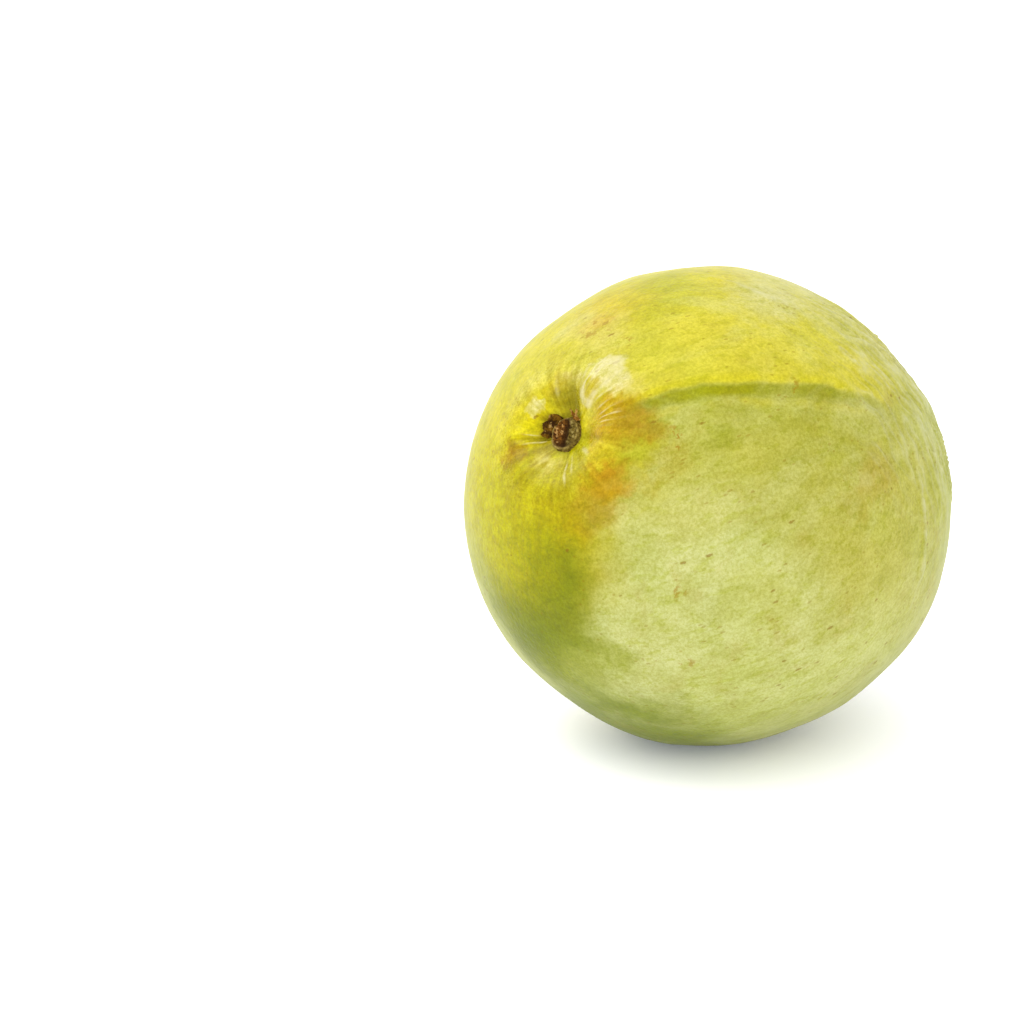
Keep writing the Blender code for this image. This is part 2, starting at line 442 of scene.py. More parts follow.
def off_meridian(at_turn, waver):
    """Signed distance from a wavering meridian, positive on the side of larger turns."""
    away = (turn - radians(at_turn) + pi) % (2 * pi) - pi
    return away * np.sin(polar) * reach + waver


def angle_from(direction):
    return np.arccos(np.clip(rays @ np.array(direction), -1, 1))


print("halfway up a rise:", rise(0.5, 0, 1))


# %% The rib
RIB_TURN = 53.9
RIB_STEP = 0.5 * MM
RIB_STEP_WIDTH = 0.9 * MM
RIB_REACH = 5.5 * MM
RIB_BENDS = (-1.3 * MM, 0.5 * MM)

rib_waver = 0.28 * MM * lumps(9, seed=3)
rib_bend = RIB_BENDS[0] * (1 - rise(polar_degrees, 16, 38)) + RIB_BENDS[1] * rise(polar_degrees, 40, 80)
below_rib = off_meridian(RIB_TURN, rib_waver + rib_bend)
rib_along = rise(polar_degrees, 15, 21) * (1 - rise(polar_degrees, 66, 98))
on_rib_side = np.cos(turn - radians(RIB_TURN)) > 0
rib_profile = -np.tanh(below_rib / RIB_STEP_WIDTH) * np.exp(-np.abs(below_rib / RIB_REACH) ** 1.5)
rib_relief = RIB_STEP * rib_along * rib_profile * on_rib_side
print("the rib's relief in mm:", in_mm([rib_relief.min(), rib_relief.max()], 2))

# %% [markdown]
# The folds around the stem are skin that the stalk drew tight. Noise would scatter them, so each is placed
# by a row of a table: a narrow dent or crest along a meridian that fades in and out. A small pit joins
# them.

# %% Folds at the stem
STEM_CREASES = (
    # turn, start and end of its run in degrees of polar angle, height, and widths at both ends in mm
    (-14, 3, 13, -0.8, 2.3, 0.8),
    (-34, 9, 17, 0.16, 1.1, 1.6),
    (20, 9, 23, 0.45, 2.0, 3.0),
    (2, 12, 19, 0.14, 0.4, 0.5),
    (11, 12, 22, 0.16, 0.4, 0.5),
    (28, 13, 20, 0.14, 0.36, 0.5),
    (38, 12, 19, 0.16, 0.3, 0.44),
    (47, 11, 18, 0.18, 0.28, 0.38),
    (54, 11, 19, 0.2, 0.26, 0.34),
    (60, 11, 20, 0.22, 0.26, 0.34),
    (66, 11, 18, 0.22, 0.26, 0.34),
    (73, 11, 16, 0.14, 0.26, 0.32),
    (57, 11, 20, -0.14, 0.24, 0.3),
    (63, 11, 20, -0.16, 0.24, 0.3),
    (84, 5, 14, -0.25, 1.3, 0.6),
    (105, 7, 14, 0.2, 0.8, 1.0),
    (120, 7, 15, -0.14, 0.5, 0.5),
    (136, 6, 14, 0.22, 0.34, 0.6),
    (147, 6, 16, 0.24, 0.34, 0.6),
    (155, 5, 13, -0.2, 0.7, 0.5),
    (-119, 5, 13, 0.3, 0.32, 0.34),
    (-108, 5, 13, 0.28, 0.32, 0.34),
    (-113, 4, 14, -0.4, 0.5, 0.4),
    (-98, 4, 13, -0.24, 0.8, 0.5),
    (-160, 6, 13, 0.16, 1.3, 1.6),
    (-66, 9, 15, 0.18, 1.0, 1.4),
)

crease_waver = 0.3 * MM * lumps(3.5, seed=7)
crease_relief = np.zeros_like(reach)
for at_turn, start, end, height, first_width, last_width in STEM_CREASES:
    run = rise(polar_degrees, start - 2, start + 2) * (1 - rise(polar_degrees, end - 5, end + 3))
    width = first_width + (last_width - first_width) * rise(polar_degrees, start, end)
    crease_relief += height * MM * run * bell(off_meridian(at_turn, crease_waver), width * MM)

PIT_AT = facing(9.5, -170)
PIT_DEPTH = 0.35 * MM
PIT_WIDTH = 0.45 * MM
crease_relief -= PIT_DEPTH * bell(angle_from(PIT_AT) * reach, PIT_WIDTH)
print("the folds' relief in mm:", in_mm([crease_relief.min(), crease_relief.max()], 2))

# %% [markdown]
# Where the skin has dried a little it is wrinkled. A few long crests run towards the blossom end, each
# along a line of places, and the distance from it gives a narrow bell. The finer crests between them are
# too many to place, so noise draws them: stretched along the wrinkles and folded about its zero, it has
# crests that braid.

# %% The long crests
LONG_CRESTS = (
    # polar angle and turn of the places that each crest runs through
    ((63, 16), (69, 25), (73, 37), (80, 45), (88, 49)),
    ((68, 18), (71, 28), (79, 33), (90, 34), (96, 41), (106, 46)),
    ((76, 20), (84, 29), (95, 33), (106, 35), (117, 41), (122, 50)),
    ((74, 34), (82, 39), (92, 46), (97, 56)),
    ((88, 46), (100, 52), (108, 58), (114, 72)),
    ((96, 60), (102, 72), (110, 86), (113, 98)),
    ((66, 24), (61, 13), (58, 2)),
    ((90, 24), (100, 28), (112, 30), (124, 38)),
)
CREST_WIDTH = 0.5 * MM


def near_line(places, width, waver):
    """1 on a line through places on the skin, 0 away from it; it fades out towards both ends."""
    shown = np.zeros_like(reach)
    ends = [np.array(facing(*place)) for place in places]
    for i, (start, end) in enumerate(zip(ends, ends[1:])):
        share = np.clip((rays - start) @ (end - start) / ((end - start) @ (end - start)), 0, 1)
        on_line = start + share[..., None] * (end - start)
        on_line /= np.linalg.norm(on_line, axis=-1, keepdims=True)
        away = np.linalg.norm(rays - on_line, axis=-1) * reach + waver
        done = (i + share) / (len(places) - 1)
        shown = np.maximum(shown, bell(away, width) * np.sin(pi * done) ** 0.5)
    return shown


meander = 0.9 * MM * lumps(5, seed=12, octaves=3)
swell = np.clip(0.85 + 0.8 * lumps(9, seed=15), 0.25, 1.2)
long_crest = np.zeros_like(reach)
for places in LONG_CRESTS:
    long_crest = np.maximum(long_crest, near_line(places, CREST_WIDTH, meander) * swell)
print("long crests:", len(LONG_CRESTS))

# %% The fine crests between them
WRINKLE_FROM = facing(66, 20)
WRINKLE_TO = facing(106, 48)
WRINKLE_ZONE = facing(98, 42)
WRINKLE_SPACING = 2.4 * MM
WRINKLE_LENGTH = 13 * MM
WRINKLE_HEIGHT = 0.62 * MM
FINE_CREST_SHARE = 0.75

wrinkles_run = np.array((WRINKLE_TO - WRINKLE_FROM).normalized())
wrinkles_cross = np.cross(wrinkles_run, np.array(WRINKLE_ZONE))


def fine_crests(seed):
    offset = bare_skin - np.array(centre)
    across = offset @ wrinkles_cross / WRINKLE_SPACING + 0.6 * lumps(7, seed + 1)
    along = offset @ wrinkles_run / WRINKLE_LENGTH
    flat = zip(across.ravel(), along.ravel())
    values = [noise.noise(Vector((u + seed, v, seed))) for u, v in flat]
    folded = 1 - np.abs(np.array(values).reshape(reach.shape)) * 2.4
    return np.clip(folded, 0, 1) ** 2.5


zone_angle = np.degrees(angle_from(WRINKLE_ZONE))
in_zone = 1 - rise(zone_angle + 9 * lumps(16, seed=11), 16, 44)
crest = np.maximum(long_crest, FINE_CREST_SHARE * fine_crests(seed=5) * in_zone)
slack = 0.4 * MM * lumps(7, seed=21) * in_zone
wrinkle_relief = WRINKLE_HEIGHT * crest + slack
print("wrinkled share of the skin:", round(float((crest > 0.2).mean()), 3))

# %% Soft rises and hollows everywhere
away_from_bowl = 1 - rise(polar_degrees, 160, 167)
upper_side = rays @ np.array(facing(75, 15)) * 0.5 + 0.5
soft_relief = MM * (
    0.16 * lumps(17, seed=1)
    + 0.075 * lumps(7, seed=2) * (0.4 + upper_side)
    + 0.028 * lumps(2.6, seed=4)
    + 0.009 * lumps(0.9, seed=6)
)
relief = rib_relief + crease_relief + wrinkle_relief + soft_relief * away_from_bowl
print("the whole relief in mm:", in_mm([relief.min(), relief.max()], 2))

# %% [markdown]
# The fruit rests on a small flat spot. Cutting the mesh off there would leave an open edge, so every point
# that would sink below the surface is lifted to it instead. The grid's two ends close with a fan of
# triangles.

# %% Build the skin
def add_piece(name, points, faces, finish, slot, replaced):
    """A smooth mesh that rides with the fruit and stands for CAD nodes."""
    mesh = bpy.data.meshes.new(name)
    mesh.from_pydata([tuple(point) for point in points], [], faces)
    mesh.validate()
    mesh.shade_smooth()
    mesh.materials.append(finish)
    piece = bpy.data.objects.new(name, mesh)
    bpy.context.scene.collection.objects.link(piece)
    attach(piece, "root")
    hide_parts(*replaced)
    print(name, "has", len(mesh.polygons), "faces")
    return piece


def grid_faces(rows, across):
    """Quads between neighbouring points of a grid whose rows close on themselves."""
    faces = []
    for row in range(rows - 1):
        for i in range(across):
            here, beside = row * across + i, row * across + (i + 1) % across
            faces.append((here, beside, beside + across, here + across))
    return faces


def end_fan(first, across, tip, flip):
    fan = [(first + i, first + (i + 1) % across, tip) for i in range(across)]
    return [face[::-1] for face in fan] if flip else fan


def closed_faces(rows, across):
    """Faces of a grid whose two ends close on one tip each; the tips are the last two points."""
    last_ring, tip = (rows - 1) * across, rows * across
    ends = end_fan(0, across, tip, flip=True) + end_fan(last_ring, across, tip + 1, flip=False)
    return grid_faces(rows, across) + ends


skin_points = np.array(centre) + rays * (reach + relief)[..., None]
skin_points[..., 2] = np.maximum(skin_points[..., 2], 0)
stem_tip = centre + axis * float(reach[0].mean())
blossom_tip = centre - axis * float(reach[-1].mean())
skin_points = [*skin_points.reshape(-1, 3), stem_tip, blossom_tip]
print("skin:", len(skin_points), "points")

# %% [markdown]
# ## The skin's colour
#
# A ripe guava is yellow where the sun reached it and sage green elsewhere, and around the stem it is lime
# with orange-brown blushes. They could be painted on a picture, but a table of places shows every choice
# and is easy to change. Each row is one glaze: a soft round patch on the sphere of directions, whose edge
# noise frays. The broad ones come first, and the small ones lie over them.

# %% Directions with frayed edges
SKIN_ROUGHNESS = 0.44
NOISE_MIDDLE = (0.5, 0.5, 0.5)

skin_finish, skin_shader, place = start_finish("guava_skin", SKIN_ROUGHNESS, specular=0.15)
from_centre = place - centre
outward = from_centre.unit()
fray_large = grain(place, 9, output="Color") - NOISE_MIDDLE
fray_middle = grain(place, 3.2, 3, 0.6, output="Color") - NOISE_MIDDLE
fray_small = grain(place, 0.9, 2, output="Color") - NOISE_MIDDLE
frayed_wide = (outward + fray_large * 0.5 + fray_middle * 0.14).unit()
frayed_fine = (outward + fray_middle * 0.16 + fray_small * 0.1).unit()


def count_nodes(what, finish=skin_finish):
    print(what, "-", len(finish.node_tree.nodes), "nodes so far")


count_nodes("frayed directions")


# %% Ways to lay one colour over another
def patch(polar, turn, inner, outer, frayed):
    """1 within inner degrees of a place on the skin, 0 beyond outer degrees."""
    return frayed.dot(facing(polar, turn)).smooth(cos(radians(outer)), cos(radians(inner)))


def near_stem(inner, outer):
    """1 within inner degrees of the stem, 0 beyond outer degrees; the other way round if inner is larger."""
    return patch(0, 0, inner, outer, outward)


def tinted(colour, mask, tint, strength=1.0):
    """The colour, covered by a screen colour where the mask is 1."""
    return (mask * strength).mix(colour, waxy(*tint))


def glazed(colour, rows, frayed, broken=1.0):
    """The colour under one soft round patch for each row."""
    for at_polar, at_turn, inner, outer, tint, strength in rows:
        mask = patch(at_polar, at_turn, inner, outer, frayed) * broken
        colour = tinted(colour, mask, tint, strength)
    return colour


def shaded(colour, mask, dark, light, share=1.0):
    """The colour times one factor where the mask is 0 and another where it is 1."""
    factors = mask.mix((*dark, 1), (*light, 1))
    settings = {"data_type": "RGBA", "blend_type": "MULTIPLY"}
    return colour.add("Mix", settings, {0: share, 6: colour, 7: factors}, output=2)


print("pale yellow paint:", waxy(229, 217, 68))


# %% Broad glazes of colour
GLAZES_WITH_PAINTED_LIGHT_AND_SHADE = (
    # polar, turn, inner and outer angle in degrees, screen colour, strength
    (62, 150, 10, 80, (213, 218, 138), 0.78),
    (62, 122, 6, 42, (226, 226, 150), 0.7),
    (74, 72, 6, 36, (194, 188, 76), 0.7),
    (100, 85, 8, 34, (208, 202, 100), 0.65),
    (40, 88, 4, 22, (202, 194, 70), 0.5),
    # lighter towards the lower right: painted bounce light from the floor
    (98, 138, 8, 34, (222, 226, 130), 0.65),
    (112, 118, 4, 30, (224, 226, 140), 0.6),
    # lower left flank: deeper green colour and painted shade
    (42, -178, 7, 30, (134, 146, 4), 0.95),
    (52, 167, 0, 18, (176, 182, 30), 0.5),
    # darker green at the bottom: greener colour and painted shade near the floor
    (91, 174, 12, 34, (138, 152, 8), 0.9),
    (24, 152, 4, 26, (198, 186, 18), 0.85),
    (20, 160, 2, 18, (186, 170, 0), 0.9),
    # far left flank: deeper green colour and painted shade
    (39, 176, 1, 21, (130, 142, 0), 0.8),
    (22, -104, 12, 46, (206, 200, 0), 0.95),
    (150, 20, 10, 60, (196, 204, 96), 0.6),
    (95, -60, 10, 55, (208, 208, 88), 0.6),
)

SAGE = waxy(198, 198, 100)
colour = glazed(SAGE, GLAZES_WITH_PAINTED_LIGHT_AND_SHADE, frayed_wide)
count_nodes("broad glazes")

# %% [markdown]
# The rib parts the yellow skin from the green. Round patches could only come near its edge, so the mesh
# carries to the material how far each point lies below it. Above it the skin is yellow. Four stripes
# follow the rib: a painted highlight on its lit edge, a dark green band on its step that is partly colour
# and partly painted shade, a broken yellow line and a painted shade below it.

# %% The yellow upper side
YELLOW = (229, 217, 68)


def carried(name):
    """A number that the mesh carries from point to point."""
    return place.add("Attribute", {"attribute_name": name}, output="Fac")


below = carried("below_rib") + (grain(place, 2.2) - 0.5) * 1.4
upper_face = patch(52, -12, 48, 80, frayed_wide)
colour = tinted(colour, below.smooth(0.6, -1.4) * upper_face, YELLOW, 0.92)
count_nodes("yellow side")

# %% The rib's stripes
RIB_STRIPES_WITH_PAINTED_LIGHT = (
    # name, mm below the edge where it appears and where it fades, screen colour, strength
    # the lit edge is a painted highlight, the dark band is dark green colour with painted shade on the step,
    # the dull shade is painted shade
    ("lit edge", (-3.2, -1.4), (-0.2, -0.9), (226, 214, 10), 0.55),
    ("dark band", (-0.9, 0.2), (2.8, 0.9), (168, 168, 0), 1.0),
    ("broken line", (1.6, 2.6), (4.6, 2.8), (214, 202, 40), 0.5),
    ("dull shade", (3.0, 4.6), (11.0, 6.0), (178, 178, 30), 0.3),
)

along_rib = near_stem(22, 16) * near_stem(66, 92) * outward.dot(facing(60, RIB_TURN)).smooth(0.2, 0.5)
for name, appears, fades, tint, strength in RIB_STRIPES_WITH_PAINTED_LIGHT:
    stripe = below.smooth(*appears) * below.smooth(*fades) * along_rib
    if name == "broken line":
        stripe = stripe * grain(place, 3).smooth(0.4, 0.62)
    colour = tinted(colour, stripe, tint, strength)
count_nodes("rib's stripes")

# %% [markdown]
# Close to the stem hardly any blue comes back from the skin. A yellow glaze would cover what is below it,
# so two patches multiply the colour instead, which takes only its blue away. The small blushes follow:
# painted highlights where the light catches the skin near the stem, golden and orange blushes, green
# hollows that are partly painted shade, and a ring of painted shade around the stub.

# %% Small glazes near the stem
BLUSHES_HIGHLIGHTS_AND_SHADE = (
    (37, -14, 2, 15, (222, 190, 40), 0.5),
    (42, 2, 2, 12, (204, 198, 20), 0.5),
    (50, -6, 1, 9, (190, 190, 20), 0.4),
    (27, -9, 1, 9, (236, 222, 130), 0.5),
    # painted highlights where the light catches the shoulder right of the stem
    (18, 20, 1, 6, (244, 236, 170), 1.0),
    (18, 37, 0, 5, (238, 228, 160), 0.9),
    (22, 44, 0, 5, (238, 222, 120), 0.5),
    (12, 20, 0, 4, (214, 190, 30), 0.8),
    # painted highlights left of the stem and at the furrow's end
    (11.5, -72, 0, 3, (242, 234, 150), 1.0),
    (15, -12, 0, 3, (242, 224, 124), 0.9),
    (12, -36, 0, 4, (226, 204, 30), 0.6),
    # a painted highlight on the bulge below the stub
    (8, -165, 1, 5, (226, 214, 104), 0.9),
    # painted shade: a darker ring close to the stub
    (5, -115, 0, 6, (168, 150, 6), 0.9),
    (16, 100, 0, 6, (236, 212, 60), 0.65),
    (14, 66, 1, 8, (206, 168, 0), 1.0),
    (21, 68, 2, 8, (186, 150, 0), 1.0),
    (26, 74, 0, 4, (182, 148, 10), 0.65),
    (21, 111, 1, 7, (206, 154, 0), 1.0),
    (21, 124, 1, 8, (198, 162, 0), 0.95),
    (24, 138, 0, 7, (186, 162, 0), 0.85),
    (26, 100, 0, 6, (194, 172, 40), 0.45),
    (30, 86, 0, 7, (184, 162, 36), 0.4),
    # the furrow above the stub: olive colour and painted shade
    (11, -14, 0, 6, (184, 160, 0), 0.6),
    (7, -24, 1, 6, (150, 142, 0), 0.65),
    (15, -122, 1, 5, (176, 136, 0), 0.9),
    (15, -150, 0, 8, (176, 162, 0), 0.65),
    (30, -16, 0, 5, (226, 180, 20), 0.45),
    (84, 71, 1, 9, (194, 170, 74), 0.5),
    (79, 79, 0, 6, (192, 168, 60), 0.5),
    (43, 73, 0, 5, (164, 170, 30), 0.5),
    (76, 15, 3, 20, (220, 218, 146), 0.65),
    (92, 30, 4, 18, (204, 204, 118), 0.55),
    (63, 20, 2, 12, (226, 222, 158), 0.6),
    (60, 119, 1, 9, (224, 224, 160), 0.5),
    (30, -30, 1, 8, (234, 222, 130), 0.45),
    (66, 112, 2, 13, (204, 204, 100), 0.55),
)

NO_CHANGE = (1, 1, 1)

sap_left = patch(17, -155, 12, 34, frayed_wide)
sap_right = patch(18, 80, 6, 14, frayed_fine)
colour = shaded(colour, sap_left, NO_CHANGE, (1, 0.99, 0.12))
colour = shaded(colour, sap_right, NO_CHANGE, (1, 0.98, 0.2))
broken = grain(place, 1.0, 4, 0.7).smooth(0.34, 0.62)
colour = glazed(colour, BLUSHES_HIGHLIGHTS_AND_SHADE, frayed_fine, 0.65 + broken * 0.35)
count_nodes("small glazes")

# %% [markdown]
# Over the glazes lies the skin's mottling. One noise alone would look like stone, so several sizes are
# laid over each other. Clouds are tints, 5 to 9 mm across and milder where the colour is saturated.
# Cloudlets, short dashes and a fine grain multiply the colour, so that a saturated place stays saturated.
# Some are drawn out in one direction.

# %% Clouds
DRAWN_ALONG = facing(117, 39)
DRAWN_SHARE = 0.62
PALE_SHIFT = (0.05, 0.02, 0.08)

drawn_out = place - place.maths("PROJECT", DRAWN_ALONG) * DRAWN_SHARE
clouds = grain(place, 9, 4, 0.6, Distortion=0.4).smooth(0.42, 0.64)
pale_clouds = grain(drawn_out + PALE_SHIFT, 6, 4, 0.6, Distortion=0.6).smooth(0.46, 0.66)
dull_clouds = grain(place, 5.0, 5, 0.7, Distortion=0.5).smooth(0.52, 0.72)
# the flank's deeper green is partly painted shade; the clouds are milder there
green_and_shaded_flank = patch(40, -174, 16, 40, frayed_wide)
mild = (1 - sap_left * 0.8) * (1 - sap_right * 0.8) * (1 - green_and_shaded_flank * 0.9)
colour = tinted(colour, clouds * mild, (174, 188, 56), 0.2)
colour = tinted(colour, pale_clouds * mild, (226, 226, 158), 0.26)
colour = tinted(colour, dull_clouds * mild, (190, 164, 66), 0.22)
count_nodes("clouds")

# %% Fine mottling
cloudlets = grain(drawn_out, 1.9, 4, 0.7, Distortion=0.3).smooth(0.36, 0.66)
dashes = grain(drawn_out, 0.7, 3, 0.6).smooth(0.5, 0.66)
fine = grain(place, 0.28, 2, 0.8).smooth(0.28, 0.72)
flecks = grain(place, 0.75, 4, 0.75).smooth(0.4, 0.6)
colour = shaded(colour, cloudlets, (0.93, 0.93, 0.8), (1.07, 1.07, 1.16))
colour = shaded(colour, dashes, (1.03, 1.03, 1.06), (0.9, 0.92, 0.66))
colour = shaded(colour, fine, (0.85, 0.85, 0.68), (1.12, 1.12, 1.22))
colour = shaded(colour, flecks, (0.93, 0.88, 0.6), (1.06, 1.06, 1.2), share=sap_left)
count_nodes("fine mottling")

# %% [markdown]
# Brown specks are the pores that the skin breathes through, and rusty marks are old scratches. There are
# too many specks for a table, so a Voronoi texture gives one spot to each cell, and noise lets only some
# appear. The marks stay in a few small places.

# %% Specks and rusty marks
RUSTY_PLACES = ((30, 77, 4), (28, -12, 6), (26, 9, 4), (33, 78, 3), (60, 55, 3), (50, 124, 4), (66, 138, 3))
RUST = (176, 130, 16)


def specked(colour, spacing_mm, size, strength, tint):
    """The colour under small round spots, whose size is a share of their spacing."""
    cells = drawn_out.add("TexVoronoi", {}, {"Vector": drawn_out, "Scale": 1 / (spacing_mm * MM)})
    chosen = grain(place, 2.2 * spacing_mm, 2).smooth(0.46, 0.6)
    uneven = (grain(place, 0.3, 2) - 0.5) * 0.16
    spot = (cells + uneven - chosen * size).smooth(0.05, -0.02) * chosen
    return tinted(colour, spot, tint, strength)


colour = specked(colour, 1.1, 0.17, 0.42, (160, 132, 10))
colour = specked(colour, 2.4, 0.1, 0.65, (150, 112, 10))
rusty = grain(place, 0.9, 3, 0.7).smooth(0.54, 0.62)
marks = [(at_polar, at_turn, 0, outer, RUST, 0.58) for at_polar, at_turn, outer in RUSTY_PLACES]
colour = glazed(colour, marks, frayed_fine, rusty)
count_nodes("specks and marks")

# %% [markdown]
# Streaks run out of the dimple like spokes, and their light side is partly a painted highlight that breaks
# up the highlights near the stem. A wave texture would space them evenly, so noise draws them: it reads the
# direction away from the axis, and hardly the distance. On crests and fine creases a painted highlight
# stands for the wax catching the light, and deep folds get painted shade. The mesh carries where those are.

# %% Streaks that run out of the stem's dimple
SPOKES = 7
SPOKE_CHANGE = 1.5

away_from_axis = from_centre - from_centre.maths("PROJECT", axis)
spokes = away_from_axis.unit() * SPOKES + outward * SPOKE_CHANGE
streaks_and_highlights = spokes.add("TexNoise", {}, {"Vector": spokes, "Scale": 1.0, "Detail": 4.0, "Roughness": 0.65})
streaks_and_highlights = streaks_and_highlights.smooth(0.36, 0.62)
# their light side is partly a painted highlight near the stem
colour = shaded(colour, streaks_and_highlights, (0.86, 0.82, 0.55), (1.1, 1.1, 1.3), share=near_stem(13, 27))
count_nodes("streaks_and_highlights")

# %% Crests and creases catch and lose light
crease_shown = carried("crease")
# painted highlight: the wrinkles' crests paler where they catch the light
colour = tinted(colour, carried("crest").smooth(0.12, 1.0) * (0.26 + broken * 0.4), (236, 234, 182))
narrow = crease_shown.smooth(0.1, 0.24) * crease_shown.smooth(0.44, 0.34)
# painted highlight along the crests of the fine creases
colour = tinted(colour, narrow * (0.2 + broken * 0.5), (250, 240, 180))
# painted shade in the deep folds
colour = tinted(colour, crease_shown.smooth(-0.05, -0.6), (150, 136, 0), 0.45)
count_nodes("crests and creases")

# %% [markdown]
# At the blossom end the calyx is a corky bowl, almost black, with a brown scar and a yellow-brown rim of
# torn skin around it. They grew as one with the skin, so they aren't pieces of their own: only the finish
# changes, with the distance from the axis.

# %% The calyx's bowl
towards_blossom = near_stem(134, 120)
ragged = away_from_axis.length() * (1 / MM) + (grain(place, 1.4) - 0.5) * 1.6
in_bowl = ragged.smooth(7.6, 6.4) * towards_blossom
scar = ragged.smooth(9.0, 8.3) * towards_blossom
rim = ragged.smooth(9.8, 8.2) * towards_blossom
torn = grain(place, 0.8, 4, 0.7).smooth(0.36, 0.64)
cork = grain(place, 0.9, 4, 0.7).smooth(0.35, 0.65)
colour = tinted(colour, rim * (0.3 + torn * 0.5), (172, 136, 40))
colour = tinted(colour, scar * (0.45 + torn * 0.5), (128, 86, 36))
colour = in_bowl.mix(colour, cork.ramp(paint(30, 18, 10), paint(96, 58, 28)))
feed(skin_shader, "Base Color", colour)
count_nodes("calyx")

# %% [markdown]
# The skin is a little glossier near the stem, and the cork is dull. Pores and pebbles under the wax are
# finer than the grid, so two sizes of bump stand for them. Light enters the skin a little, so it has a
# weak subsurface glow, and its highlights are slightly yellow.

# %% Gloss and pores
roughness = SKIN_ROUGHNESS - near_stem(13, 27) * 0.18 + (fine - 0.5) * 0.12 + in_bowl * 0.4
feed(skin_shader, "Roughness", roughness)
pores = grain(place, 0.42, 2, 0.6)
pebbles = grain(place, 1.1, 3, 0.65)
feed(skin_shader, "Normal", raised(pores, 0.06, Normal=raised(pebbles, 0.16)))
count_nodes("gloss and pores")

# %% Hand the skin its mesh
skin_shader.inputs["Specular Tint"].default_value = (1, 0.95, 0.35, 1)
skin_shader.inputs["Subsurface Weight"].default_value = 0.06
skin_shader.inputs["Subsurface Radius"].default_value = (1.0, 0.9, 0.25)
skin_shader.inputs["Subsurface Scale"].default_value = 1.5 * MM
skin = add_piece("skin", skin_points, closed_faces(ROWS - 1, COLUMNS), skin_finish, "skin", ["fruit"])


def store(piece, name, values):
    """Keeps one number per point on the mesh, for its material to read."""
    attribute = piece.data.attributes.new(name, "FLOAT", "POINT")
    padded = np.append(values.ravel(), np.zeros(len(piece.data.vertices) - values.size))
    attribute.data.foreach_set("value", padded.astype(np.float32))


store(skin, "below_rib", below_rib / MM)
store(skin, "crest", crest)
store(skin, "crease", crease_relief / MM)
print("stored:", skin.data.attributes.keys())

# %% [markdown]
# ## Dry pieces at both ends
#
# The stub, bracts, sepals and stamens are dry remains of the twig and the flower. Placed directly they
# would need slanted numbers, so each is shaped upright in a frame of its own, in mm. The lowest points of
# its CAD node are its root: their middle is the origin.

# %% A frame for each small piece
ROOT_DEPTH = 0.4 * MM
ON_AXIS = 0.5 * MM  # nearer to the axis than this, no direction leads away from it


def standing(node, outwards):
    """The frame at a CAD node's root, in mm, with +Z outwards and +Y away from the fruit's axis."""
    lowest = min(corner.dot(outwards) for corner in corners_of(node))
    foot = middle([corner for corner in corners_of(node) if corner.dot(outwards) < lowest + ROOT_DEPTH])
    away = foot - centre
    away -= axis * away.dot(axis)
    away = away.normalized() if away.length > ON_AXIS else upper
    basis = Matrix((away.cross(outwards), away, outwards)).transposed().to_4x4()
    return Matrix.Translation(foot) @ basis @ Matrix.Scale(MM, 4)


stub_frame = standing("stem_stub", axis)
print("the stub's root in mm:", in_mm(stub_frame.translation))

# %% [markdown]
# The stalk's broken end shows a ring of grey bark, and inside it brown wood with a dark split across. A
# bump on a cylinder would keep a clean outline, so the stub is turned like a vase, from a profile of
# radius and height, and noise then moves the points themselves.

# %% The stub's shape
STUB_RADIUS = 2.95
STUB_AROUND = 96
SPLIT_TURN = -13
FACE_FLOOR = -0.1
STUB_PROFILE = (
    # share of the radius, height in mm
    (1.16, -0.9), (1.12, -0.5), (1.06, -0.2), (1.02, 0.1), (1.0, 0.3), (1.0, 0.5),
    (0.97, 0.62), (0.91, 0.66), (0.85, 0.56), (0.78, 0.38), (0.68, 0.28), (0.58, 0.24),
    (0.48, 0.22), (0.38, 0.24), (0.28, 0.26), (0.18, 0.24), (0.09, 0.24),
)


def stub_point(share, height, angle):
    """A point of the stub, with ragged bark, a split across its face and chips on one side."""
    x = STUB_RADIUS * share * sin(angle)
    y = STUB_RADIUS * share * cos(angle)
    spot = Vector((x, y, height))
    rough = noise.fractal(spot * 1.3, 1.0, 2.0, 4)
    bark = 1 + 0.07 * noise.fractal(Vector((sin(angle) * 2, cos(angle) * 2, height * 0.8)), 1.0, 2.0, 4)
    on_face = max(0.0, min(1.0, (0.86 - share) / 0.15))
    off_split = spot.x * cos(radians(SPLIT_TURN)) - spot.y * sin(radians(SPLIT_TURN))
    split = -0.3 * on_face * bell(off_split - 0.1 + 0.2 * rough, 0.42)
    chips = 0.3 * on_face * max(0.0, noise.noise(spot * 2.6 + Vector((4, 1, 9))))
    ragged = 0.16 * rough * (0.8 + on_face)
    top = max(height + split + chips + ragged, FACE_FLOOR) if share < 1 else height + ragged
    return Vector((x * bark, y * bark, top))


print("the stub's profile has", len(STUB_PROFILE), "points")

# %% Turn the stub
in_halves = np.arange(0, len(STUB_PROFILE) - 0.5, 0.5)
profile_columns = [np.interp(in_halves, range(len(STUB_PROFILE)), column) for column in zip(*STUB_PROFILE)]
stub_rings = list(zip(*profile_columns))
stub_points = [
    stub_frame @ stub_point(share, height, 2 * pi * i / STUB_AROUND)
    for share, height in stub_rings
    for i in range(STUB_AROUND)
]
stub_points.append(middle(stub_points[-STUB_AROUND:]))
last_ring = (len(stub_rings) - 1) * STUB_AROUND
stub_faces = grid_faces(len(stub_rings), STUB_AROUND)
stub_faces += end_fan(last_ring, STUB_AROUND, len(stub_points) - 1, flip=False)
print("stub:", len(stub_rings), "rings")

